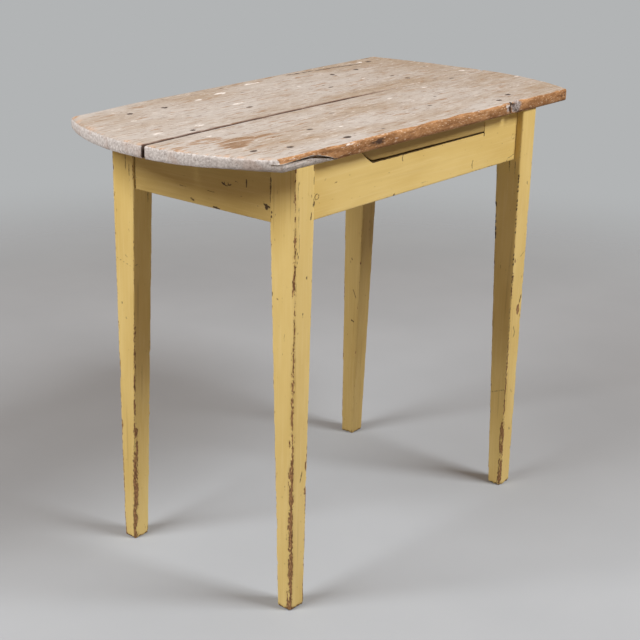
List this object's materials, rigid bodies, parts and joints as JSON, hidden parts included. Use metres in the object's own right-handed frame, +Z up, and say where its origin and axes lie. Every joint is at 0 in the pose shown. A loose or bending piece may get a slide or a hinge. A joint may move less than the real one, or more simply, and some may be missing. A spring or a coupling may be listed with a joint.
{
  "type": "tavern table",
  "caption": "Rustic pine table with a bowed bare plank top on a worn ochre-painted frame with tapered legs and a shallow slide-out drawer.",
  "frame": {"origin": "on the floor, under the middle of the table top", "axes": "+X along the length of the top, +Y from the drawer side to the back, +Z up"},
  "size_m": [0.915, 0.444, 0.7559],
  "materials": {
    "ochre_paint": "old yellow ochre oil paint, satin, chipped to brown wood along the arrises",
    "bleached_pine": "bare scrubbed pine, bleached grey-pink, matte",
    "inner_pine": "unpainted aged pine, matte",
    "nail_iron": "dark rusted iron"
  },
  "bodies": {
    "table": {"leg_front_left": "ochre_paint", "leg_front_right": "ochre_paint", "leg_rear_left": "ochre_paint", "leg_rear_right": "ochre_paint", "apron_front": "ochre_paint", "apron_rear": "ochre_paint", "apron_left": "ochre_paint", "apron_right": "ochre_paint", "joint_pegs": "ochre_paint", "top_board_front": "bleached_pine", "top_board_rear": "bleached_pine", "drawer_runner_left": "inner_pine", "drawer_runner_right": "inner_pine", "drawer_guide_left": "inner_pine", "drawer_guide_right": "inner_pine", "top_nails": "nail_iron"},
    "drawer": {"drawer_front": "ochre_paint", "drawer_side_left": "inner_pine", "drawer_side_right": "inner_pine", "drawer_back": "inner_pine", "drawer_bottom": "inner_pine", "drawer_nails": "nail_iron"}
  },
  "joints": [
    {"name": "drawer_slide", "type": "slide", "parent": "table", "child": "drawer", "axis": [0, -1, 0], "range_m": [0, 0.24]}
  ]
}
